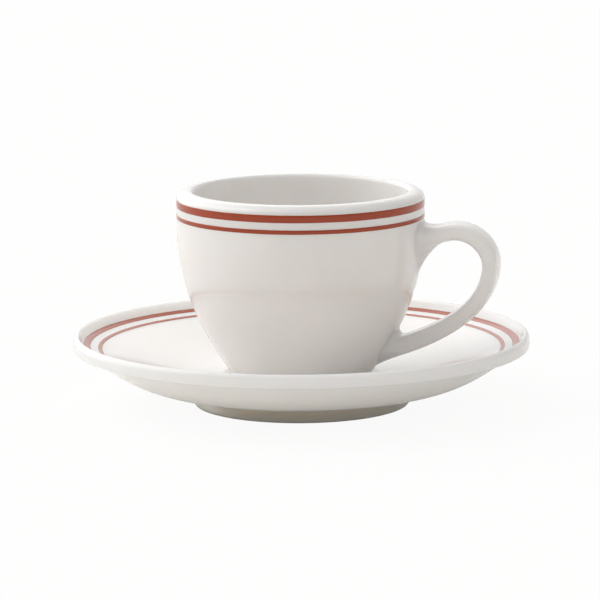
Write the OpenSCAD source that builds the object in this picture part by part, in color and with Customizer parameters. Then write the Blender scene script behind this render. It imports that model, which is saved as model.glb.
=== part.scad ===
// Espresso cup and saucer of glazed white porcelain, each with a wide and a narrow fired band.
// The origin is the centre of the saucer's foot, on the table. +Z is up, and the cup's handle
// points along +X.

/* [Cup] */
// Outer radius of the cup at its bands
cup_r = 32.5; // [31:0.1:36]
// Height of the cup, from its foot to the top of its rim
cup_h = 50.6; // [50:0.1:58]
// Height of the upright part of the side, up to the top of the rim
upright_h = 8.4; // [7:0.1:12]
// Angle between the upright and the bowl where it leaves the foot ring
bowl_angle = 36; // [30:1:42]
// Length over which the bowl holds that angle above the foot ring
bowl_pull = 14.2; // [9:0.1:16]
// Length over which the side holds upright below the bands
side_pull = 17.2; // [12:0.1:20]
// Thickness of the rim
lip_w = 4.5; // [4:0.1:6]
// Height of the rim's outer rounding
lip_h = 2.1; // [1.2:0.1:2.4]
// Radius of the rim's tighter rounding on the inside
lip_inner_r = 1.1; // [0.6:0.1:1.8]
// Height of the inside floor above the foot
cup_floor_h = 5; // [4.5:0.1:6.5]
// Radius of the flat part of the inside floor
cup_floor_r = 8; // [4:0.1:10]
// Length over which the inside holds upright below the rim
inside_pull = 17; // [12:0.1:20]
// Length over which the inside floor holds level before it turns up
floor_pull = 12; // [8:0.1:13]

/* [Cup foot] */
// Outer radius of the cup's foot ring
cup_foot_r = 18; // [16:0.1:19]
// Height of the cup's foot ring, up to where the bowl starts
cup_foot_h = 1.4; // [1:0.1:2.5]
// Width of the cup's foot ring
cup_foot_w = 3; // [2:0.1:5]

/* [Handle] */
// Distance from the cup's axis to the middle of the grip where it reaches furthest
grip_reach = 50.6; // [48:0.1:56]
// Height of the top of the handle's centre line above that place
grip_drop = 8.4; // [7:0.1:11]
// Distance from the cup's axis to the top of the handle's centre line
arch_reach = 41.6; // [40:0.1:44]
// Height of the top of the handle's centre line above the middle of the upper root
arch_rise = 1.8; // [1:0.1:3]
// Width of the grip, from side to side
grip_w = 9.2; // [7:0.1:12]
// Thickness of the grip over its arch
grip_upper_t = 4.5; // [4:0.1:6]
// Thickness of the grip where it reaches furthest
grip_middle_t = 4.2; // [3.6:0.1:5.5]
// Thickness of the grip at its lower end
grip_lower_t = 4.7; // [3.6:0.1:5.5]
// How square the grip's section is, where 2 is an oval and higher is squarer
grip_squareness = 4.2; // [2:0.1:4.5]

/* [Handle roots] */
// Height of the bare glaze between the narrow band and the upper root
upper_root_gap = 0.3; // [0.3:0.1:3]
// Width of the upper root on the cup's side
upper_root_w = 15.2; // [13:0.1:18]
// Height of the upper root above its middle
upper_root_rise = 4.4; // [3.5:0.1:5]
// Height of the upper root below its middle
upper_root_drop = 10.8; // [6:0.1:13]
// Distance from the cup's side over which the upper root blends into the grip
upper_root_reach = 5.8; // [3.5:0.1:6.5]
// Height of the lower root's middle above the cup's foot
lower_root_h = 9.2; // [8:0.1:11]
// Width of the lower root on the cup's side
lower_root_w = 12.8; // [11:0.1:16]
// Height of the lower root above its middle
lower_root_rise = 5.5; // [4:0.1:7]
// Height of the lower root below its middle
lower_root_drop = 5.2; // [3:0.1:6]
// Distance from the cup's side over which the lower root blends into the grip
lower_root_reach = 5.4; // [4:0.1:8]
// Angle at which the lower end of the grip falls towards the cup
lower_root_angle = 20; // [10:1:30]
// How square a root's wide upper end is, where 2 is an oval and higher is squarer
root_squareness = 2.5; // [2:0.1:4]
// How square a root's lower end is, where it narrows to a point on the cup's side
root_point_squareness = 1.4; // [1.2:0.1:2.5]

/* [Saucer] */
// Outer radius of the saucer
saucer_r = 60; // [57:0.1:70]
// Height of the top of the saucer's rim above the table
saucer_h = 18.8; // [18:0.1:22]
// Width of the raised rim
rim_w = 2.1; // [1.6:0.1:3]
// Height of the raised rim above the flange
rim_rise = 2.1; // [1.4:0.1:2.6]
// Radius of the rounding between the rim's top and its inner face
rim_inner_r = 0.6; // [0.3:0.1:0.8]
// Height of the rim's outer face, from its lower edge to its top
rim_h = 3.6; // [3.2:0.1:4.2]
// Width of the step under the rim
rim_step = 1.9; // [1:0.1:2.4]
// Angle between the flange and the table
flange_angle = 15.7; // [10:0.1:20]
// Width of the straight flange that carries the bands
flange_w = 8; // [7:0.1:12]
// Radius of the well that the cup stands in
well_r = 20.4; // [19.5:0.1:23]
// Height of the well's floor above the table
well_h = 6.2; // [5.5:0.1:7]
// Depth of the well below the dish around it
well_depth = 0.9; // [0.5:0.1:1.4]

/* [Saucer foot] */
// Outer radius of the saucer's foot ring
foot_r = 28.4; // [26:0.1:33]
// Height of the saucer's foot ring
foot_h = 3.8; // [3:0.1:4.2]
// Width of the saucer's foot ring
foot_w = 3.4; // [2.5:0.1:6]
// Distance by which the foot ring spreads at the table
foot_spread = 0.8; // [0:0.1:1.2]
// Depth of the hollow inside the foot ring
foot_hollow = 2.2; // [1:0.1:2.6]
// Angle between the underside and the table where it leaves the foot ring
underside_angle = 4; // [2:1:12]
// Angle between the underside and the table where it meets the rim
underside_rim_angle = 33; // [25:1:40]

/* [Bands] */
// Height of the bare glaze between the wide band and the cup's rim rounding
cup_band_drop = 0.1; // [0:0.05:1]
// Width of the wide band on the cup
cup_wide_w = 1.95; // [1:0.05:2.5]
// Width of the bare glaze between the cup's two bands
cup_band_gap = 1.85; // [1:0.05:2.5]
// Width of the narrow band on the cup
cup_narrow_w = 1.1; // [0.5:0.05:1.6]
// Width of the bare glaze between the saucer's rim and its wide band
saucer_band_inset = 0.4; // [0:0.05:1]
// Width of the wide band on the saucer
saucer_wide_w = 2; // [1:0.05:2.5]
// Width of the bare glaze between the saucer's two bands
saucer_band_gap = 1.95; // [1:0.05:2.5]
// Width of the narrow band on the saucer
saucer_narrow_w = 1.1; // [0.5:0.05:1.6]
// Depth to which a band's colour is fused into the glaze
band_depth = 0.25; // [0.1:0.05:0.5]

/* [Colours] */
// Colour of the glazed porcelain
glaze_colour = "#f1eee9"; // color
// Colour of the fired bands
band_colour = "#a4472b"; // color

/* [Hidden] */
$fn = 144;

// Number of segments in a long curve, in a rounded edge and around the grip
curve_steps = 26;
edge_steps = 6;
section_steps = 28;
// Number of rings along a root's blend, and along the grip's three stretches from the top down
root_rings = 7;
grip_rings = [6, 13, 20];

// Radius of the rounded edges of both foot rings
foot_edge_r = 0.5;
// Height of the saucer rim's outer rounding, and radius of the rounding at its lower edge
rim_round_h = 1.5;
rim_edge_r = 0.4;
// Width of the slope from the well up to the dish
well_slope_w = 1.2;
// Lengths over which the dish and the underside hold their directions
dish_pull = 9;
underside_pull = 17.7;
underside_rim_pull = 11.5;
// Lengths over which the handle's centre line holds its directions
neck_pull = 1.6;
arch_pull = 5.3;
grip_upper_pull = 3.7;
grip_lower_pull = 11.2;
lower_neck_pull = 10.8;
// Angle at which the upper end of the grip rises from the cup
upper_root_angle = 12;
// Heights by which the ends of the grip lie above the middles of their roots
upper_root_lift = 1.25;
lower_root_lift = 1.45;
// Shares of a root's depth over which its blend follows the cup's side, and over which its upper
// and its lower end follow the grip's stem
upper_hug_share = 0.6;
lower_hug_share = 0.2;
root_stem_share = 0.88;
root_point_stem_share = 0.55;
// Depth to which the handle reaches into the cup's side before it is cut to fit
root_sink = 0.25;
root_tail = 1.2;
// Height to either side over which the lean of the cup's side is measured
lean_h = 1;
// How far a cut runs past the surface that it starts from
overrun = 1;

// Height above the foot at which the cup's side becomes upright
cup_side_h = cup_h - upright_h;

// Places of the bands, worked out from the rims
cup_wide_top = cup_h - lip_h - cup_band_drop;
cup_narrow_top = cup_wide_top - cup_wide_w - cup_band_gap;
flange_end_r = saucer_r - rim_w;
flange_end_h = saucer_h - rim_rise;
saucer_wide_out = flange_end_r - saucer_band_inset;
saucer_narrow_out = saucer_wide_out - saucer_wide_w - saucer_band_gap;

// Heights of the handle above the cup's foot, worked out from the band that it lies under
upper_root_h = cup_narrow_top - cup_narrow_w - upper_root_gap - upper_root_rise;
arch_h = upper_root_h + arch_rise;
grip_h = arch_h - grip_drop;

function direction(angle) = [cos(angle), sin(angle)];
function unit(v) = v / norm(v);

// Point and direction at share u of a cubic Bezier curve
function bezier_at(p, u) =
    (1 - u)^3 * p[0] + 3 * (1 - u)^2 * u * p[1] + 3 * (1 - u) * u^2 * p[2] + u^3 * p[3];
function bezier_slope(p, u) =
    (1 - u)^2 * (p[1] - p[0]) + 2 * (1 - u) * u * (p[2] - p[1]) + u^2 * (p[3] - p[2]);
function bezier(p, steps = curve_steps) = [for (i = [0:steps]) bezier_at(p, i / steps)];

// Arc of an ellipse, as points from one angle to another
function oval_arc(centre, rx, ry, from, to, steps = edge_steps) =
    [for (i = [0:steps]) let (a = from + (to - from) * i / steps)
        centre + [rx * cos(a), ry * sin(a)]];

// Outline of a foot ring from the hollow inside it round to its outer face
function foot_outline(outer_r, width, hollow_h) = let (e = foot_edge_r) concat(
    [[0, hollow_h]],
    oval_arc([outer_r - width - e, hollow_h - e], e, e, 90, 0),
    oval_arc([outer_r - width + e, e], e, e, 180, 270),
    oval_arc([outer_r - e, e], e, e, 270, 360));

// Side of the cup, from the foot ring up to where it becomes upright
cup_side = bezier([
    [cup_foot_r, cup_foot_h],
    [cup_foot_r, cup_foot_h] + bowl_pull * direction(90 - bowl_angle),
    [cup_r, cup_side_h - side_pull],
    [cup_r, cup_side_h]]);

// Inside of the cup, from below the rim down to its floor
cup_inside = bezier([
    [cup_r - lip_w, cup_side_h],
    [cup_r - lip_w, cup_side_h - inside_pull],
    [cup_floor_r + floor_pull, cup_floor_h],
    [cup_floor_r, cup_floor_h]]);

// Radius of the rim's highest circle
lip_crest_r = cup_r - lip_w + lip_inner_r;

cup_outline = concat(
    foot_outline(cup_foot_r, cup_foot_w, cup_foot_h),
    cup_side,
    oval_arc([lip_crest_r, cup_h - lip_h], cup_r - lip_crest_r, lip_h, 0, 90, 2 * edge_steps),
    oval_arc([lip_crest_r, cup_h - lip_inner_r], lip_inner_r, lip_inner_r, 90, 180),
    cup_inside,
    [[0, cup_floor_h]]);

// The cup filled in, from the foot ring up to where its rim starts to round
cup_solid_outline = concat(
    [[0, cup_foot_h]],
    cup_side,
    [[cup_r, cup_h - lip_h], [0, cup_h - lip_h]]);

// Underside of the saucer, from the foot ring out to the step under the rim
underside_start = [foot_r - foot_spread, foot_h];
underside_end = [saucer_r - rim_edge_r - rim_step, saucer_h - rim_h];
saucer_underside = bezier([
    underside_start,
    underside_start + underside_pull * direction(underside_angle),
    underside_end - underside_rim_pull * direction(underside_rim_angle),
    underside_end]);

// Upper side of the saucer, from the flange in to the edge of the well
flange_start = [flange_end_r, flange_end_h] - flange_w * [1, tan(flange_angle)];
dish_edge = [well_r + well_slope_w, well_h + well_depth];
saucer_dish_curve = bezier([
    flange_start,
    flange_start - dish_pull * direction(flange_angle),
    dish_edge + dish_pull * direction(flange_angle / 2),
    dish_edge]);

// Radius of the saucer rim's highest circle
rim_crest_r = flange_end_r + rim_inner_r;

saucer_outline = concat(
    foot_outline(foot_r, foot_w, foot_hollow),
    saucer_underside,
    oval_arc([saucer_r - rim_edge_r, saucer_h - rim_h + rim_edge_r], rim_edge_r, rim_edge_r, 270, 360),
    oval_arc([rim_crest_r, saucer_h - rim_round_h], saucer_r - rim_crest_r, rim_round_h, 0, 90),
    oval_arc([rim_crest_r, saucer_h - rim_inner_r], rim_inner_r, rim_inner_r, 90, 180),
    [[flange_end_r, flange_end_h]],
    saucer_dish_curve,
    [[well_r, well_h], [0, well_h]]);

// Height of the flange's upper face at a radius
function flange_h(r) = flange_end_h - (flange_end_r - r) * tan(flange_angle);

// Ring of band colour fused into the cup's side, reaching out past it by an amount
module cup_band(top, width, past = 0) {
    translate([0, 0, well_h])
        rotate_extrude()
            translate([cup_r - band_depth, top - width])
                square([band_depth + past, width]);
}

// Ring of band colour fused into the saucer's flange, reaching up past it by an amount
module saucer_band(outer, width, past = 0) {
    inner = outer - width;
    rotate_extrude()
        polygon([
            [inner, flange_h(inner) - band_depth],
            [outer, flange_h(outer) - band_depth],
            [outer, flange_h(outer) + past],
            [inner, flange_h(inner) + past]]);
}

// Radius of the cup's side, and its lean from the upright, at a height above the foot
function side_r(h) = lookup(h, [for (p = cup_side) [p[1], p[0]]]);
function side_lean(h) = atan2(side_r(h + lean_h) - side_r(h - lean_h), 2 * lean_h);

// Point of the cup's side at a height, a distance to the side of the handle's plane, and sunk in
function side_point(h, y, sink = 0) = let (r = side_r(h) - sink) [sqrt(r^2 - y^2), y, h];
function side_normal(h, y) = let (a = asin(y / side_r(h)), lean = side_lean(h))
    [cos(a) * cos(lean), sin(a) * cos(lean), -sin(lean)];

// Angle around a section, and a cosine or sine raised from an oval's towards a square's
function turn(i) = 360 * i / section_steps;
function squared(x, squareness) = sign(x) * abs(x)^(2 / squareness);

// Ring of the grip, at right angles to its centre line
function grip_ring(centre, slope, thickness) =
    let (along = unit(slope), out = [-along[1], along[0]])
    [for (i = [0:section_steps - 1])
        let (p = centre + out * thickness / 2 * squared(sin(turn(i)), grip_squareness))
        [p[0], grip_w / 2 * squared(cos(turn(i)), grip_squareness), p[1]]];

// How far up a root a point of a section lies, from -1 to 1. The outer face of the grip is the
// upper one at the upper root, where facing is 1, and the lower one at the other, where it is -1
function up(i, facing) = facing * sin(turn(i));

// Ring where a root meets the cup's side
function root_ring(h, width, rise, drop, facing, sink) =
    [for (i = [0:section_steps - 1])
        let (u = up(i, facing), squareness = u > 0 ? root_squareness : root_point_squareness)
        side_point(
            h + (u > 0 ? rise : drop) * squared(u, squareness),
            width / 2 * squared(cos(turn(i)), squareness), sink)];

// Rings between the cup's side and an end of the grip. They leave the side along it, over a share
// of the blend's depth, and meet the grip along the direction of its stem
function root_blend(foot, ring, stem, facing, hug_share) =
    [for (k = [0:root_rings - 1])
        [for (i = [0:section_steps - 1])
            let (reach = ring[i] - foot[i],
                 normal = side_normal(foot[i][2], foot[i][1]),
                 depth = reach * normal,
                 along = reach - depth * normal,
                 upper_part = (1 + up(i, facing)) / 2,
                 stem_share = upper_part * root_stem_share + (1 - upper_part) * root_point_stem_share)
            bezier_at([
                foot[i],
                foot[i] + hug_share * min(depth, norm(along)) * unit(along),
                ring[i] - stem_share * depth * stem,
                ring[i]], k / root_rings)]];

// The root's ring moved inwards past the cup's side, where the skin is closed
function root_tail_ring(foot) = [for (p = foot) p - root_tail * side_normal(p[2], p[1])];

// Skin over a stack of rings, each end closed by triangles round the middle of its ring
function middle(ring) = [for (p = ring) 1 / len(ring)] * ring;
module loft(rings) {
    n = len(rings[0]);
    last = len(rings) - 1;
    count = n * len(rings);
    points = concat([for (ring = rings) each ring], [middle(rings[0]), middle(rings[last])]);
    sides = [for (k = [0:last - 1], i = [0:n - 1]) let (j = (i + 1) % n)
        each [[k * n + i, k * n + j, (k + 1) * n + j], [k * n + i, (k + 1) * n + j, (k + 1) * n + i]]];
    ends = [for (i = [0:n - 1]) let (j = (i + 1) % n)
        each [[j, i, count], [last * n + i, last * n + j, count + 1]]];
    polyhedron(points, concat(sides, ends), convexity = 4);
}

// Handle as one skin of rings from the upper root, over the grip, to the lower root
module handle_skin() {
    upper_slope = direction(upper_root_angle);
    lower_slope = -direction(lower_root_angle);
    upper_end = [side_r(upper_root_h) + upper_root_reach, upper_root_h + upper_root_lift];
    lower_end = [side_r(lower_root_h) + lower_root_reach, lower_root_h + lower_root_lift];
    arch = [arch_reach, arch_h];
    grip = [grip_reach, grip_h];
    stretches = [
        [upper_end, upper_end + neck_pull * upper_slope, arch - [neck_pull, 0], arch],
        [arch, arch + [arch_pull, 0], grip + [0, grip_upper_pull], grip],
        [grip, grip - [0, grip_lower_pull], lower_end - lower_neck_pull * lower_slope, lower_end]];
    thickness = [
        [grip_upper_t, grip_upper_t],
        [grip_upper_t, grip_middle_t],
        [grip_middle_t, grip_lower_t]];
    grip_stack = [for (k = [0:len(stretches) - 1], i = [0:grip_rings[k] - 1])
        let (u = i / grip_rings[k], t = thickness[k])
        grip_ring(bezier_at(stretches[k], u), bezier_slope(stretches[k], u), t[0] + (t[1] - t[0]) * u)];
    last_ring = grip_ring(lower_end, lower_slope, grip_lower_t);

    upper_foot = root_ring(
        upper_root_h, upper_root_w, upper_root_rise, upper_root_drop, 1, root_sink);
    lower_foot = root_ring(
        lower_root_h, lower_root_w, lower_root_rise, lower_root_drop, -1, root_sink);
    upper_stem = [upper_slope[0], 0, upper_slope[1]];
    lower_stem = -[lower_slope[0], 0, lower_slope[1]];
    upper_stack = root_blend(upper_foot, grip_stack[0], upper_stem, 1, upper_hug_share);
    lower_stack = root_blend(lower_foot, last_ring, lower_stem, -1, lower_hug_share);
    loft(concat(
        [root_tail_ring(upper_foot)],
        upper_stack,
        grip_stack,
        [last_ring],
        [for (k = [root_rings - 1:-1:0]) lower_stack[k]],
        [root_tail_ring(lower_foot)]));
}

module saucer_dish() {
    color(glaze_colour)
        difference() {
            rotate_extrude() polygon(saucer_outline);
            saucer_band(saucer_wide_out, saucer_wide_w, overrun);
            saucer_band(saucer_narrow_out, saucer_narrow_w, overrun);
        }
}

module saucer_wide_band() {
    color(band_colour) saucer_band(saucer_wide_out, saucer_wide_w);
}

module saucer_narrow_band() {
    color(band_colour) saucer_band(saucer_narrow_out, saucer_narrow_w);
}

module cup_body() {
    color(glaze_colour)
        difference() {
            translate([0, 0, well_h]) rotate_extrude() polygon(cup_outline);
            cup_band(cup_wide_top, cup_wide_w, overrun);
            cup_band(cup_narrow_top, cup_narrow_w, overrun);
        }
}

module cup_handle() {
    color(glaze_colour)
        translate([0, 0, well_h])
            difference() {
                handle_skin();
                rotate_extrude() polygon(cup_solid_outline);
            }
}

module cup_wide_band() {
    color(band_colour) cup_band(cup_wide_top, cup_wide_w);
}

module cup_narrow_band() {
    color(band_colour) cup_band(cup_narrow_top, cup_narrow_w);
}

saucer_dish();
saucer_wide_band();
saucer_narrow_band();
cup_body();
cup_handle();
cup_wide_band();
cup_narrow_band();
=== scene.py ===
"""Espresso cup and saucer: fine meshes, glazes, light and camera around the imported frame.

Shapes are drawn in millimetres in the row frame and become metres when their mesh is made.
An outline is a list of (radius, height) points, and a ring is a list of points round a section.
"""
import math

import bpy
from mathutils import Matrix, Vector, noise


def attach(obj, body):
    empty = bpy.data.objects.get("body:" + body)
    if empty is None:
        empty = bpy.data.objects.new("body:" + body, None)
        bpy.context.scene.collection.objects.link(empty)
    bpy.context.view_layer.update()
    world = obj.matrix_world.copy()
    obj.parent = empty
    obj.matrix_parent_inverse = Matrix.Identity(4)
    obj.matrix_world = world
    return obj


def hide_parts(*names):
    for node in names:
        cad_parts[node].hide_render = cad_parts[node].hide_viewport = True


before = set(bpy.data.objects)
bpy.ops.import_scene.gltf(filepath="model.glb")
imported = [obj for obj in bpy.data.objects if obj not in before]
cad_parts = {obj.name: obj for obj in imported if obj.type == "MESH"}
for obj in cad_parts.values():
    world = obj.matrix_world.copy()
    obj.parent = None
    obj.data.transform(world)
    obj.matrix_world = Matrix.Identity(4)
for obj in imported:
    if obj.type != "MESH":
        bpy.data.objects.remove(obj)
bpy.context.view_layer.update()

MM = 0.001

# Cup: the body's outline, measured from its own foot
CUP_R = 32.5
CUP_H = 50.6
CUP_SIDE_H = 42.2
BOWL_ANGLE = 36
BOWL_PULL = 14.2
SIDE_PULL = 17.2
LIP_W = 4.5
LIP_H = 2.1
LIP_INNER_R = 1.1
CUP_FLOOR_H = 5
CUP_FLOOR_R = 8
INSIDE_PULL = 17
FLOOR_PULL = 12
CUP_FOOT_R = 18
CUP_FOOT_H = 1.4
CUP_FOOT_W = 3

# Handle: its centre line and its section, measured from the cup's foot
GRIP_REACH = 50.6
GRIP_H = 32.2
ARCH_REACH = 41.6
ARCH_H = 40.6
GRIP_W = 9.2
GRIP_UPPER_T = 4.5
GRIP_MIDDLE_T = 4.2
GRIP_LOWER_T = 4.7
GRIP_SQUARENESS = 4.2
NECK_PULL = 1.6
ARCH_PULL = 5.3
GRIP_UPPER_PULL = 3.7
GRIP_LOWER_PULL = 11.2
LOWER_NECK_PULL = 10.8

# Roots of the handle: where it flows into the cup's side. Each has its height on the side, its
# width, how far it rises and drops from there, how far out and up its stem starts, the stem's
# angle, how long it hugs the side and whether its wide part faces up or down
UPPER_ROOT = dict(
    h=38.8, w=15.2, rise=4.4, drop=10.8, reach=5.8, lift=1.25, angle=12, hug=0.6, facing=1)
LOWER_ROOT = dict(
    h=9.2, w=12.8, rise=5.5, drop=5.2, reach=5.4, lift=1.45, angle=20, hug=0.2, facing=-1)
ROOT_SQUARENESS = 2.5
ROOT_POINT_SQUARENESS = 1.4
ROOT_STEM_SHARE = 0.88
ROOT_POINT_STEM_SHARE = 0.55
ROOT_SINK = 0.03
ROOT_TAIL = 1.2

# Saucer
SAUCER_R = 60
SAUCER_H = 18.8
RIM_W = 2.1
RIM_RISE = 2.1
RIM_H = 3.6
RIM_STEP = 1.9
RIM_ROUND_H = 1.5
RIM_EDGE_R = 0.4
RIM_CREST_W = 1.2
RIM_CREST_PULL = 0.4
RIM_FLANGE_PULL = 0.3
FLANGE_ANGLE = 15.7
FLANGE_W = 8
WELL_R = 20.4
WELL_H = 6.2
WELL_DEPTH = 0.9
WELL_SLOPE_W = 1.2
DISH_PULL = 9
FOOT_R = 28.4
FOOT_H = 3.8
FOOT_W = 3.4
FOOT_SPREAD = 0.8
FOOT_HOLLOW = 2.2
FOOT_EDGE_R = 0.5
FOOT_FILLET = 1.7
FILLET_SHARE = 0.55
UNDERSIDE_ANGLE = 4
UNDERSIDE_PULL = 17.7
UNDERSIDE_RIM_ANGLE = 33
UNDERSIDE_RIM_PULL = 11.5

# Bands of fired colour
CUP_BAND_DROP = 0.1
CUP_WIDE_W = 1.95
CUP_BAND_GAP = 1.85
CUP_NARROW_W = 1.1
SAUCER_BAND_INSET = 0.4
SAUCER_WIDE_W = 2
SAUCER_BAND_GAP = 1.95
SAUCER_NARROW_W = 1.1
BAND_DEPTH = 0.2
BAND_PROUD = 0.03
BAND_EDGE_W = 0.12
BAND_WAVER = 0.05
WAVERS_PER_TURN = 2.5
FINE_WAVER_SHARE = 0.4
FINE_WAVERS_PER_WAVER = 3
INNER_SEED_FACTOR = 0.7
OUTER_SEED_SHIFT = 9

# Fineness of the meshes
TURNS = 256
CURVE_STEPS = 60
EDGE_STEPS = 12
SECTION_STEPS = 64
ROOT_STEPS = 22
GRIP_STEPS = (12, 24, 40)
SAMPLE = 0.08
GLAZE_SOFTNESS = 0.2
OUTLINE_TOLERANCE = 0.003
LONGEST_STEP = 1.5
FLAT_MIDDLE_R = WELL_R / 2
LEAN_STEP = 0.3


def point(x, y):
    return Vector((x, y))


def direction(degrees):
    a = math.radians(degrees)
    return point(math.cos(a), math.sin(a))


def bezier_at(p, u):
    v = 1 - u
    return v**3 * p[0] + 3 * v * v * u * p[1] + 3 * v * u * u * p[2] + u**3 * p[3]


def bezier_slope(p, u):
    """A vector along the curve. Only its direction counts."""
    v = 1 - u
    return v * v * (p[1] - p[0]) + 2 * v * u * (p[2] - p[1]) + u * u * (p[3] - p[2])


def bezier(p, steps=CURVE_STEPS):
    return [bezier_at(p, i / steps) for i in range(steps + 1)]


def arc(centre, rx, ry, start, end, steps=EDGE_STEPS):
    """Points of an ellipse's arc, from one angle to another in degrees."""
    turns = [math.radians(start + (end - start) * i / steps) for i in range(steps + 1)]
    return [centre + point(rx * math.cos(a), ry * math.sin(a)) for a in turns]


def foot_outline(outer_r, width, hollow):
    """A foot ring, from the hollow inside it round to its outer face."""
    e = FOOT_EDGE_R
    return (
        [point(0, hollow)]
        + arc(point(outer_r - width - e, hollow - e), e, e, 90, 0)
        + arc(point(outer_r - width + e, e), e, e, 180, 270)
        + arc(point(outer_r - e, e), e, e, 270, 360)
    )


CUP_SIDE = bezier([
    point(CUP_FOOT_R, CUP_FOOT_H),
    point(CUP_FOOT_R, CUP_FOOT_H) + BOWL_PULL * direction(90 - BOWL_ANGLE),
    point(CUP_R, CUP_SIDE_H - SIDE_PULL),
    point(CUP_R, CUP_SIDE_H),
])


def cup_outline():
    inside = bezier([
        point(CUP_R - LIP_W, CUP_SIDE_H),
        point(CUP_R - LIP_W, CUP_SIDE_H - INSIDE_PULL),
        point(CUP_FLOOR_R + FLOOR_PULL, CUP_FLOOR_H),
        point(CUP_FLOOR_R, CUP_FLOOR_H),
    ])
    crest_r = CUP_R - LIP_W + LIP_INNER_R
    lip = (
        arc(point(crest_r, CUP_H - LIP_H), CUP_R - crest_r, LIP_H, 0, 90, 2 * EDGE_STEPS)
        + arc(point(crest_r, CUP_H - LIP_INNER_R), LIP_INNER_R, LIP_INNER_R, 90, 180)
    )
    foot = foot_outline(CUP_FOOT_R, CUP_FOOT_W, CUP_FOOT_H)
    return foot + CUP_SIDE + lip + inside + [point(0, CUP_FLOOR_H)]


FLANGE_END = point(SAUCER_R - RIM_W, SAUCER_H - RIM_RISE)


def flange_point(r):
    """The point of the saucer's flange at a radius."""
    return point(r, FLANGE_END.y - (FLANGE_END.x - r) * math.tan(math.radians(FLANGE_ANGLE)))


def saucer_outline():
    foot_top = point(FOOT_R - FOOT_SPREAD, FOOT_H)
    step = point(SAUCER_R - RIM_EDGE_R - RIM_STEP, SAUCER_H - RIM_H)
    underside = bezier([
        foot_top,
        foot_top + UNDERSIDE_PULL * direction(UNDERSIDE_ANGLE),
        step - UNDERSIDE_RIM_PULL * direction(UNDERSIDE_RIM_ANGLE),
        step,
    ])
    underside = [p for p in underside if p.x > foot_top.x + FOOT_FILLET]
    foot_side = foot_top.lerp(point(FOOT_R, 0), FOOT_FILLET / FOOT_H)
    fillet = bezier([
        foot_side,
        foot_side.lerp(foot_top, FILLET_SHARE),
        underside[0].lerp(foot_top, FILLET_SHARE),
        underside[0],
    ], EDGE_STEPS)
    crest = point(SAUCER_R - RIM_CREST_W, SAUCER_H)
    band_edge = flange_point(FLANGE_END.x - SAUCER_BAND_INSET)
    rim = (
        arc(point(SAUCER_R - RIM_EDGE_R, step.y + RIM_EDGE_R), RIM_EDGE_R, RIM_EDGE_R, 270, 360)
        + arc(point(crest.x, SAUCER_H - RIM_ROUND_H), RIM_CREST_W, RIM_ROUND_H, 0, 90)
        + bezier([
            crest,
            crest - point(RIM_CREST_PULL, 0),
            band_edge + RIM_FLANGE_PULL * direction(FLANGE_ANGLE),
            band_edge,
        ], 2 * EDGE_STEPS)
    )
    flange_start = flange_point(FLANGE_END.x - FLANGE_W)
    dish_edge = point(WELL_R + WELL_SLOPE_W, WELL_H + WELL_DEPTH)
    dish = bezier([
        flange_start,
        flange_start - DISH_PULL * direction(FLANGE_ANGLE),
        dish_edge + DISH_PULL * direction(FLANGE_ANGLE / 2),
        dish_edge,
    ])
    well = [point(WELL_R, WELL_H), point(0, WELL_H)]
    foot = foot_outline(FOOT_R, FOOT_W, FOOT_HOLLOW)
    return foot + fillet + underside[1:] + rim + dish + well


def resampled(outline, gap):
    """The outline again, as points that lie one gap apart along it."""
    points = [outline[0]]
    left = gap
    for a, b in zip(outline, outline[1:]):
        length = (b - a).length
        done = left
        while done <= length:
            points.append(a.lerp(b, done / length))
            done += gap
        left = done - length
    return points + [outline[-1]]


def softened(outline, softness):
    """The outline with its corners rounded over, the way that a glaze flows over them."""
    fine = resampled(outline, SAMPLE)
    reach = math.ceil(3 * softness / SAMPLE)
    weights = [math.exp(-0.5 * (k * SAMPLE / softness) ** 2) for k in range(-reach, reach + 1)]
    total = sum(weights)
    before = [point(-p.x, p.y) for p in fine[reach:0:-1]]
    after = [point(-p.x, p.y) for p in fine[-2:-reach - 2:-1]]
    padded = before + fine + after
    soft = [
        sum((w * p for w, p in zip(weights, padded[i:])), point(0, 0)) / total
        for i in range(len(fine))
    ]
    soft[0].x = fine[0].x
    soft[-1].x = fine[-1].x
    return soft


def thinned(points, tolerance):
    """The outline with no more points than its curves need."""
    keep = {0, len(points) - 1}
    spans = [(0, len(points) - 1)]
    while spans:
        first, last = spans.pop()
        if last - first < 2:
            continue
        a, b = points[first], points[last]
        along = (b - a).normalized()
        across = point(-along.y, along.x)
        far = max(range(first + 1, last), key=lambda i: abs((points[i] - a).dot(across)))
        if abs((points[far] - a).dot(across)) < tolerance:
            if (b - a).length < LONGEST_STEP or a.x < FLAT_MIDDLE_R:
                continue
            far = (first + last) // 2
        keep.add(far)
        spans += [(first, far), (far, last)]
    return [points[i] for i in sorted(keep)]


def mesh_piece(name, vertices, faces, body, slot, *nodes):
    """A smooth mesh of points in millimetres that rides on a body and stands for CAD nodes."""
    mesh = bpy.data.meshes.new(name)
    mesh.from_pydata([v * MM for v in vertices], [], faces)
    mesh.validate()
    mesh.update()
    mesh.shade_smooth()
    piece = bpy.data.objects.new(name, mesh)
    bpy.context.scene.collection.objects.link(piece)
    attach(piece, body)
    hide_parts(*nodes)
    return piece


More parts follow.
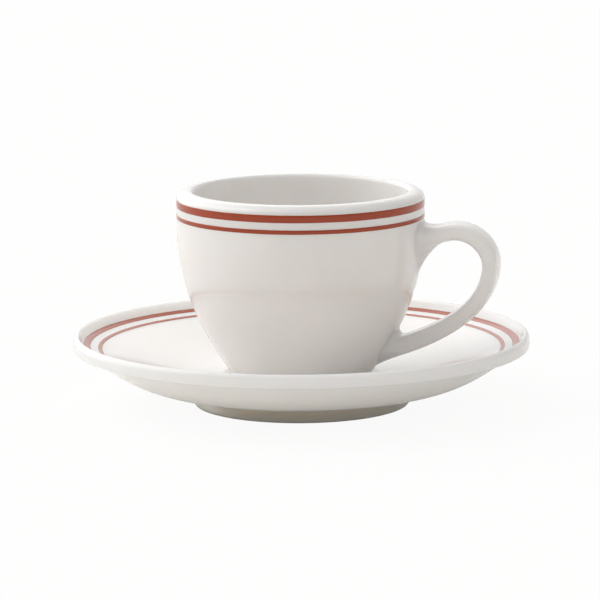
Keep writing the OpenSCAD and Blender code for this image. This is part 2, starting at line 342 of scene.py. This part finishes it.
def turned(outline, base=0):
    """Vertices and faces of an outline turned round the axis. Its two ends lie on the axis."""
    rows = outline[1:-1]
    vertices = [Vector((0, 0, base + outline[0].y)), Vector((0, 0, base + outline[-1].y))]
    for p in rows:
        for k in range(TURNS):
            a = math.tau * k / TURNS
            vertices.append(Vector((p.x * math.cos(a), p.x * math.sin(a), base + p.y)))
    faces = []
    for k in range(TURNS):
        j = (k + 1) % TURNS
        faces.append((0, 2 + j, 2 + k))
        last = 2 + (len(rows) - 1) * TURNS
        faces.append((1, last + k, last + j))
        for i in range(len(rows) - 1):
            row = 2 + i * TURNS
            faces.append((row + k, row + j, row + TURNS + j, row + TURNS + k))
    return vertices, faces


def wavering(angle, seed):
    """How far a hand-painted edge strays at an angle round the axis, from -1 to 1."""
    x, y = WAVERS_PER_TURN * math.cos(angle), WAVERS_PER_TURN * math.sin(angle)
    place = Vector((x, y, seed))
    return noise.noise(place) + FINE_WAVER_SHARE * noise.noise(FINE_WAVERS_PER_WAVER * place)


def band(name, body, slot, node, inner, outer, base=0):
    """A thin ring of colour between two points of an outline, with painted edges.

    The outline runs from inner to outer, and the ring stands proud on its left side.
    """
    along = (outer - inner).normalized()
    out = point(-along.y, along.x)
    width = (outer - inner).length
    section = [(0, -BAND_DEPTH), (0, 0), (BAND_EDGE_W, BAND_PROUD)]
    section += [(width - BAND_EDGE_W, BAND_PROUD), (width, 0), (width, -BAND_DEPTH)]
    count = len(section)
    vertices = []
    for k in range(2 * TURNS):
        a = math.pi * k / TURNS
        inner_stray = BAND_WAVER * wavering(a, INNER_SEED_FACTOR * outer.x)
        outer_stray = BAND_WAVER * wavering(a, OUTER_SEED_SHIFT + outer.x)
        for s, h in section:
            share = s / width
            p = inner + along * (s + inner_stray * (1 - share) + outer_stray * share) + out * h
            vertices.append(Vector((p.x * math.cos(a), p.x * math.sin(a), base + p.y)))
    faces = []
    for k in range(2 * TURNS):
        row, other = k * count, (k + 1) % (2 * TURNS) * count
        for i in range(count):
            j = (i + 1) % count
            faces.append((row + i, row + j, other + j, other + i))
    return mesh_piece(name, vertices, faces, body, slot, node)


def side_r(h):
    """Radius of the cup's side at a height above its foot."""
    if h >= CUP_SIDE_H:
        return CUP_R
    for a, b in zip(CUP_SIDE, CUP_SIDE[1:]):
        if h <= b.y:
            return a.x + (b.x - a.x) * (h - a.y) / (b.y - a.y)


def side_point(h, y, sink=0):
    """The point of the cup's side at a height, to one side of the handle's middle plane."""
    r = side_r(h) - sink
    return Vector((math.sqrt(r * r - y * y), y, h))


def side_normal(h, y):
    """The direction straight out of the cup's side at that point."""
    lean = math.atan2(side_r(h + LEAN_STEP) - side_r(h - LEAN_STEP), 2 * LEAN_STEP)
    a = math.asin(y / side_r(h))
    flat = math.cos(lean)
    return Vector((math.cos(a) * flat, math.sin(a) * flat, -math.sin(lean)))


def squared(x, squareness=GRIP_SQUARENESS):
    """A sine or cosine pushed out towards the corners of a rounded square."""
    return math.copysign(abs(x) ** (2 / squareness), x)


def section_turns():
    return [math.tau * i / SECTION_STEPS for i in range(SECTION_STEPS)]


def grip_ring(centre, slope, thickness):
    """A section of the grip, at right angles to its centre line."""
    along = slope.normalized()
    out = point(-along.y, along.x)
    ring = []
    for a in section_turns():
        p = centre + out * thickness / 2 * squared(math.sin(a))
        ring.append(Vector((p.x, GRIP_W / 2 * squared(math.cos(a)), p.y)))
    return ring


def root_ring(root):
    """Where a root meets the cup's side: wide towards the way it faces, and a point behind."""
    ring = []
    for a in section_turns():
        up = root["facing"] * math.sin(a)
        squareness = ROOT_SQUARENESS if up > 0 else ROOT_POINT_SQUARENESS
        h = root["h"] + root["rise" if up > 0 else "drop"] * squared(up, squareness)
        ring.append(side_point(h, root["w"] / 2 * squared(math.cos(a), squareness), ROOT_SINK))
    return ring


def root_blend(root, foot, ring, stem):
    """Rings that leave the cup's side along it and meet the grip along its stem."""
    rings = []
    for k in range(ROOT_STEPS):
        u = k / ROOT_STEPS
        row = []
        for f, r, a in zip(foot, ring, section_turns()):
            upper_part = (1 + root["facing"] * math.sin(a)) / 2
            share = upper_part * ROOT_STEM_SHARE + (1 - upper_part) * ROOT_POINT_STEM_SHARE
            normal = side_normal(f.z, f.y)
            reach = r - f
            depth = reach.dot(normal)
            along = reach - depth * normal
            hold = root["hug"] * min(depth, along.length) * along.normalized()
            row.append(bezier_at([f, f + hold, r - share * depth * stem, r], u))
        rings.append(row)
    return rings


def tail_ring(foot):
    """The ring of a root's foot again, sunk into the cup's wall."""
    return [p - ROOT_TAIL * side_normal(p.z, p.y) for p in foot]


def lofted(rings, base):
    """Vertices and faces of a skin over a stack of rings, closed at both ends."""
    count = len(rings[0])
    lift = Vector((0, 0, base))
    vertices = [p + lift for ring in rings for p in ring]
    faces = []
    for k in range(len(rings) - 1):
        row = k * count
        for i in range(count):
            j = (i + 1) % count
            faces.append((row + i, row + j, row + count + j, row + count + i))
    start, end = len(vertices), len(vertices) + 1
    vertices.append(sum(rings[0], Vector()) / count + lift)
    vertices.append(sum(rings[-1], Vector()) / count + lift)
    last = (len(rings) - 1) * count
    for i in range(count):
        j = (i + 1) % count
        faces.append((j, i, start))
        faces.append((last + i, last + j, end))
    return vertices, faces


def handle_rings():
    """The handle's sections, from inside the wall at its upper root to inside it at the lower."""
    up, low = UPPER_ROOT, LOWER_ROOT
    upper_slope, lower_slope = direction(up["angle"]), -direction(low["angle"])
    upper_end = point(side_r(up["h"]) + up["reach"], up["h"] + up["lift"])
    lower_end = point(side_r(low["h"]) + low["reach"], low["h"] + low["lift"])
    arch, grip = point(ARCH_REACH, ARCH_H), point(GRIP_REACH, GRIP_H)
    upper_neck = upper_end + NECK_PULL * upper_slope
    lower_neck = lower_end - LOWER_NECK_PULL * lower_slope
    stretches = [
        [upper_end, upper_neck, arch - point(NECK_PULL, 0), arch],
        [arch, arch + point(ARCH_PULL, 0), grip + point(0, GRIP_UPPER_PULL), grip],
        [grip, grip - point(0, GRIP_LOWER_PULL), lower_neck, lower_end],
    ]
    thickness = (GRIP_UPPER_T, GRIP_UPPER_T, GRIP_MIDDLE_T, GRIP_LOWER_T)
    grip_rings = []
    for stretch, steps, start, end in zip(stretches, GRIP_STEPS, thickness, thickness[1:]):
        for i in range(steps):
            u = i / steps
            t = start + (end - start) * u
            grip_rings.append(grip_ring(bezier_at(stretch, u), bezier_slope(stretch, u), t))
    last = grip_ring(lower_end, lower_slope, GRIP_LOWER_T)
    upper_foot, lower_foot = root_ring(up), root_ring(low)
    upper_stem = Vector((upper_slope.x, 0, upper_slope.y))
    lower_stem = -Vector((lower_slope.x, 0, lower_slope.y))
    upper = [tail_ring(upper_foot)] + root_blend(up, upper_foot, grip_rings[0], upper_stem)
    lower = [tail_ring(lower_foot)] + root_blend(low, lower_foot, last, lower_stem)
    return upper + grip_rings + [last] + lower[::-1]


def build_pieces():
    saucer = thinned(softened(saucer_outline(), GLAZE_SOFTNESS), OUTLINE_TOLERANCE)
    cup = thinned(softened(cup_outline(), GLAZE_SOFTNESS), OUTLINE_TOLERANCE)
    pieces = {}
    pieces["saucer"] = mesh_piece(
        "saucer", *turned(saucer), "saucer", "saucer_glaze", "saucer_dish")
    pieces["cup"] = mesh_piece("cup", *turned(cup, WELL_H), "cup", "cup_glaze", "cup_body")
    pieces["handle"] = mesh_piece(
        "handle", *lofted(handle_rings(), WELL_H), "cup", "handle_glaze", "cup_handle")

    wide_out = FLANGE_END.x - SAUCER_BAND_INSET
    narrow_out = wide_out - SAUCER_WIDE_W - SAUCER_BAND_GAP
    saucer_bands = (("wide", wide_out, SAUCER_WIDE_W), ("narrow", narrow_out, SAUCER_NARROW_W))
    for size, outer_r, width in saucer_bands:
        name = f"saucer_{size}_stripe"
        pieces[name] = band(
            name, "saucer", "saucer_band", f"saucer_{size}_band",
            flange_point(outer_r - width), flange_point(outer_r))

    wide_top = CUP_H - LIP_H - CUP_BAND_DROP
    narrow_top = wide_top - CUP_WIDE_W - CUP_BAND_GAP
    cup_bands = (("wide", wide_top, CUP_WIDE_W), ("narrow", narrow_top, CUP_NARROW_W))
    for size, top, width in cup_bands:
        name = f"cup_{size}_stripe"
        pieces[name] = band(
            name, "cup", "cup_band", f"cup_{size}_band",
            point(CUP_R, top), point(CUP_R, top - width), WELL_H)
    return pieces


# Materials
WHITE = (1, 1, 1, 1)
GLAZE = (0.9, 0.88, 0.858, 1)
# Warm brown of the thin glaze on the foot, partly painted shade for the foot's shade
THIN_GLAZE_AND_SHADE = (0.92, 0.83, 0.69, 1)
BISCUIT = (0.62, 0.54, 0.43, 1)
CUP_BAND_COLOUR = (0.375, 0.047, 0.008, 1)
SAUCER_BAND_COLOUR = (0.44, 0.08, 0.03, 1)
GLAZE_IOR = 1.62
BAND_IOR = 1.5
GLAZE_ROUGHNESS = (0.01, 0.025)
BARE_ROUGHNESS = 0.7
BAND_ROUGHNESS = (0.06, 0.12)

# How light sinks into the porcelain: its share, and how deep it goes in each colour
SAUCER_GLOW_SHARE = 0.8
SAUCER_GLOW_DEPTH = 6
CUP_GLOW_SHARE = 0.5
CUP_GLOW_DEPTH = 3.2
GLOW_RADIUS = (1, 0.9, 0.8)

# The clay is bare up to a height above the face that a piece stands on, where the glaze starts
# in a wandering edge. The glaze is thin up to a share of the foot's height and full at its top.
# Where it is thin it is warm brown, which is partly the thin glaze and partly painted shade on
# the foot
BARE_H = 0.3
BARE_EDGE_H = 0.12
BARE_WANDER = 0.08
THIN_AND_SHADE_SHARE = 0.6

# Patterns in a material: how fine they are, and how much detail they have
CLOUDS = (45, 3)
SPECKS = (1500, 1)
WANDER = (400, 2)
GRAIN = (2200, 3)
GLOSS = (120, 2)
BAND_GLOSS = (300, 2)
RIPPLE = (160, 1.5)
PEEL = (700, 1)

# Streaks in a band: fine across it and long round it
STREAKS = (1, 3)
STREAK_CONTRAST = 0.6
STREAKS_ROUND = 2.2
STREAKS_ACROSS = 2600

# The middle part of a noise, where nearly all of its values lie
NOISE_SPAN = (0.3, 0.7)
CLOUD_SPAN = (0.35, 0.65)
SPECK_SPAN = (0.76, 0.82)

# Shades of a colour, and the strength of each bump with its height in millimetres
CLOUD_SHADES = (0.985, 1.012)
SPECK_SHADE = 0.93
GRAIN_SHADES = (0.94, 1.06)
STREAK_SHADES = (0.9, 1.1)
GLAZE_RIPPLE = (0.06, 0.08)
GLAZE_PEEL = (0.06, 0.03)
BAND_RIPPLE = (0.1, 0.08)


class Nodes:
    """A small helper that adds nodes to a material or a world and links them."""

    def __init__(self, owner):
        owner.use_nodes = True
        self.owner = owner
        self.tree = owner.node_tree
        self.shader = self.tree.nodes.get("Principled BSDF")

    def add(self, kind, **values):
        node = self.tree.nodes.new(kind)
        for key, value in values.items():
            setattr(node, key, value)
        return node

    def link(self, source, target):
        self.tree.links.new(source, target)

    def feed(self, value, socket):
        """Gives a socket a plain value, or links it to the output of another node."""
        if isinstance(value, (int, float, tuple)):
            socket.default_value = value
        else:
            self.link(value, socket)

    def set(self, node, **values):
        for key, value in values.items():
            node.inputs[key.replace("_", " ")].default_value = value

    def place(self):
        return self.add("ShaderNodeTexCoord").outputs["Object"]

    def noise(self, scale, detail, roughness=0.5, place=None):
        node = self.add("ShaderNodeTexNoise")
        self.set(node, Scale=scale, Detail=detail, Roughness=roughness)
        self.link(place or self.place(), node.inputs["Vector"])
        return node.outputs["Fac"]

    def math(self, operation, a, b):
        node = self.add("ShaderNodeMath", operation=operation)
        for socket, value in zip(node.inputs, (a, b)):
            self.feed(value, socket)
        return node.outputs[0]

    def scaled(self, value, low, high, start=0, end=1):
        node = self.add("ShaderNodeMapRange")
        self.set(node, From_Min=start, From_Max=end, To_Min=low, To_Max=high)
        self.link(value, node.inputs["Value"])
        return node.outputs["Result"]

    def mix(self, fac, a, b):
        node = self.add("ShaderNodeMix", data_type="RGBA")
        self.link(fac, node.inputs["Factor"])
        for name, value in (("A", a), ("B", b)):
            socket = next(s for s in node.inputs if s.name == name and s.type == "RGBA")
            self.feed(value, socket)
        return next(s for s in node.outputs if s.type == "RGBA")

    def bump(self, height, size, normal=None):
        node = self.add("ShaderNodeBump")
        self.set(node, Strength=size[0], Distance=size[1] * MM)
        self.link(height, node.inputs["Height"])
        if normal:
            self.link(normal, node.inputs["Normal"])
        return node.outputs["Normal"]

    def white_light(self, kind, strength):
        node = self.add(kind)
        self.set(node, Color=WHITE)
        self.feed(strength, node.inputs["Strength"])
        return node.outputs[0]

    def pick(self, fac, a, b, output):
        """Mixes two shaders and links them to the output."""
        node = self.add("ShaderNodeMixShader")
        self.link(fac, node.inputs["Fac"])
        self.link(a, node.inputs[1])
        self.link(b, node.inputs[2])
        self.link(node.outputs[0], self.add(output).inputs["Surface"])


def new_material(name):
    return Nodes(bpy.data.materials.new(name))


def shade(colour, amount):
    """A colour made lighter or darker by a factor."""
    return tuple(c * amount for c in colour[:3]) + (1,)


def glaze_material(name, foot_z, thin_and_shade_h, glow, depth):
    """Warm white glaze over translucent porcelain, bare under the foot and thin on it, where its
    warm brown is partly painted shade.
    """
    n = new_material(name)
    clouds = n.scaled(n.noise(*CLOUDS), 0, 1, *CLOUD_SPAN)
    colour = n.mix(clouds, *[shade(GLAZE, s) for s in CLOUD_SHADES])
    specks = n.scaled(n.noise(*SPECKS), 0, 1, *SPECK_SPAN)
    colour = n.mix(specks, colour, shade(GLAZE, SPECK_SHADE))

    split = n.add("ShaderNodeSeparateXYZ")
    n.link(n.place(), split.inputs[0])
    wander = n.scaled(n.noise(*WANDER), -BARE_WANDER * MM, BARE_WANDER * MM)
    edge = n.math("ADD", split.outputs["Z"], wander)
    bare = n.scaled(edge, 1, 0, foot_z + (BARE_H - BARE_EDGE_H) * MM, foot_z + BARE_H * MM)
    # Partly painted shade: the foot is warm brown up to a share of its height, fading to the
    # glaze at its top
    thin_and_shade = n.scaled(edge, 1, 0, foot_z + THIN_AND_SHADE_SHARE * thin_and_shade_h, foot_z + thin_and_shade_h)
    colour = n.mix(thin_and_shade, colour, THIN_GLAZE_AND_SHADE)
    grain = n.scaled(n.noise(*GRAIN), 0, 1, *NOISE_SPAN)
    biscuit = n.mix(grain, *[shade(BISCUIT, s) for s in GRAIN_SHADES])
    n.link(n.mix(bare, colour, biscuit), n.shader.inputs["Base Color"])

    gloss = n.scaled(n.noise(*GLOSS), *GLAZE_ROUGHNESS, *NOISE_SPAN)
    roughness = n.math("ADD", gloss, n.math("MULTIPLY", bare, BARE_ROUGHNESS))
    n.link(roughness, n.shader.inputs["Roughness"])
    ripple = n.bump(n.noise(*RIPPLE), GLAZE_RIPPLE)
    n.link(n.bump(n.noise(*PEEL), GLAZE_PEEL, ripple), n.shader.inputs["Normal"])
    n.set(n.shader, IOR=GLAZE_IOR)
    n.set(n.shader, Subsurface_Weight=glow, Subsurface_Radius=GLOW_RADIUS, Subsurface_Scale=depth)
    return n.owner


def band_material(name, base):
    """Rust brown colour, a little streaky round the band, under a glossy surface."""
    n = new_material(name)
    split = n.add("ShaderNodeSeparateXYZ")
    n.link(n.place(), split.inputs[0])
    angle = n.math("ARCTAN2", split.outputs["Y"], split.outputs["X"])
    radius = n.add("ShaderNodeVectorMath", operation="LENGTH")
    n.link(n.place(), radius.inputs[0])
    unrolled = n.add("ShaderNodeCombineXYZ")
    n.link(n.math("MULTIPLY", angle, STREAKS_ROUND), unrolled.inputs["X"])
    n.link(n.math("MULTIPLY", radius.outputs["Value"], STREAKS_ACROSS), unrolled.inputs["Y"])
    streaks = n.noise(*STREAKS, STREAK_CONTRAST, unrolled.outputs[0])
    tone = n.scaled(streaks, 0, 1, *NOISE_SPAN)
    colour = n.mix(tone, *[shade(base, s) for s in STREAK_SHADES])
    n.link(colour, n.shader.inputs["Base Color"])
    roughness = n.scaled(n.noise(*BAND_GLOSS), *BAND_ROUGHNESS, *NOISE_SPAN)
    n.link(roughness, n.shader.inputs["Roughness"])
    n.link(n.bump(n.noise(*RIPPLE), BAND_RIPPLE), n.shader.inputs["Normal"])
    n.set(n.shader, IOR=BAND_IOR)
    return n.owner


def dress(pieces):
    """Gives each piece its material."""
    saucer_glaze = glaze_material(
        "saucer_glaze", 0, FOOT_H * MM, SAUCER_GLOW_SHARE, SAUCER_GLOW_DEPTH * MM)
    cup_glaze = glaze_material(
        "cup_glaze", WELL_H * MM, CUP_FOOT_H * MM, CUP_GLOW_SHARE, CUP_GLOW_DEPTH * MM)
    saucer_colour = band_material("saucer_band_colour", SAUCER_BAND_COLOUR)
    cup_colour = band_material("cup_band_colour", CUP_BAND_COLOUR)
    for name, piece in pieces.items():
        glaze, colour = cup_glaze, cup_colour
        if name.startswith("saucer"):
            glaze, colour = saucer_glaze, saucer_colour
        piece.data.materials.append(colour if name.endswith("stripe") else glaze)


# Studio: a white room, plain white for the camera. Each part of its light is a soft lobe, given
# by the direction that it comes from, how narrow it is and its level
HORIZON_LEVEL = 0.4
LOBES = (
    ("overhead", (0, 0, 1), 8, 0.05),
    ("key", (-0.6, -0.15, 0.77), 12, 2.2),
    ("left", (-0.88, 0.35, 0.3), 5, 1.75),
    ("right", (0.7, 0, 0.7), 4, 0.2),
    ("backdrop", (-0.2, 0.97, 0.1), 3, 0.45),
    ("window", (-0.25, 0.85, 0.5), 40, 0.9),
)
FLOOR_COLOUR = (0.94, 0.92, 0.88, 1)
FLOOR_R = 4
FLOOR_SIDES = 96
FLOOR_DROP = 0.02
FLOOR_SHADOW_SHARE = 0.07
FLOOR_MIRROR_SHARE = 0.3


def world_light():
    """The room: its lobes light the object, and the camera sees plain white instead of them."""
    world = bpy.data.worlds.new("room")
    bpy.context.scene.world = world
    n = Nodes(world)
    n.tree.nodes.clear()
    coords = n.add("ShaderNodeTexCoord")
    level = HORIZON_LEVEL
    for name, aim, narrowness, peak in LOBES:
        dot = n.add("ShaderNodeVectorMath", operation="DOT_PRODUCT", label=name)
        n.link(coords.outputs["Generated"], dot.inputs[0])
        dot.inputs[1].default_value = Vector(aim).normalized()
        lobe = n.math("POWER", n.math("MAXIMUM", dot.outputs["Value"], 0), narrowness)
        level = n.math("ADD", n.math("MULTIPLY", lobe, peak), level)
    room = n.white_light("ShaderNodeBackground", level)
    white = n.white_light("ShaderNodeBackground", 1)
    seen = n.add("ShaderNodeLightPath").outputs["Is Camera Ray"]
    n.pick(seen, room, white, "ShaderNodeOutputWorld")


def floor():
    """A pale floor that the camera sees as white, with the object's soft shadow on it."""
    mesh = bpy.data.meshes.new("floor")
    turns = [math.tau * k / FLOOR_SIDES for k in range(FLOOR_SIDES)]
    rim = [(FLOOR_R * math.cos(a), FLOOR_R * math.sin(a), 0) for a in turns]
    mesh.from_pydata(rim, [], [tuple(range(FLOOR_SIDES))])
    plane = bpy.data.objects.new("floor", mesh)
    plane.location.z = -FLOOR_DROP * MM
    bpy.context.scene.collection.objects.link(plane)
    n = new_material("floor")
    n.tree.nodes.clear()
    diffuse = n.add("ShaderNodeBsdfDiffuse")
    n.set(diffuse, Color=FLOOR_COLOUR)
    white = n.white_light("ShaderNodeEmission", 1)
    path = n.add("ShaderNodeLightPath")
    seen = n.math("MULTIPLY", path.outputs["Is Camera Ray"], 1 - FLOOR_SHADOW_SHARE)
    mirrored = n.math("MULTIPLY", path.outputs["Is Glossy Ray"], FLOOR_MIRROR_SHARE)
    whiteness = n.math("MAXIMUM", seen, mirrored)
    n.pick(whiteness, diffuse.outputs[0], white, "ShaderNodeOutputMaterial")
    mesh.materials.append(n.owner)


# Camera: where the photograph was taken from
SENSOR_W = 36
CLIP_START = 0.01
CLIP_END = 50
FRAME_PX = 600
FOCAL_PX = 3700
CAMERA_DISTANCE = 0.973
CAMERA_AZIMUTH = 12
CAMERA_ELEVATION = 9.87
CAMERA_ROLL = -0.4
CAMERA_AIM = Vector((-0.0003, 0, 0.0273))


def camera():
    data = bpy.data.cameras.new("camera")
    data.sensor_width = SENSOR_W
    data.lens = SENSOR_W * FOCAL_PX / FRAME_PX
    data.clip_start = CLIP_START
    data.clip_end = CLIP_END
    elevation = math.radians(CAMERA_ELEVATION)
    forward = Vector((0, math.cos(elevation), -math.sin(elevation)))
    across = Vector((1, 0, 0))
    up = across.cross(forward)
    roll = math.radians(CAMERA_ROLL)
    right = math.cos(roll) * across + math.sin(roll) * up
    top = math.cos(roll) * up - math.sin(roll) * across
    turn = Matrix.Rotation(math.radians(CAMERA_AZIMUTH), 4, "Z")
    place = Matrix((right, top, -forward)).transposed().to_4x4()
    place.translation = CAMERA_AIM - CAMERA_DISTANCE * forward
    lens = bpy.data.objects.new("camera", data)
    lens.matrix_world = turn @ place
    bpy.context.scene.collection.objects.link(lens)
    bpy.context.scene.camera = lens


camera()
world_light()
floor()
dress(build_pieces())
bpy.context.scene.view_settings.view_transform = "Standard"
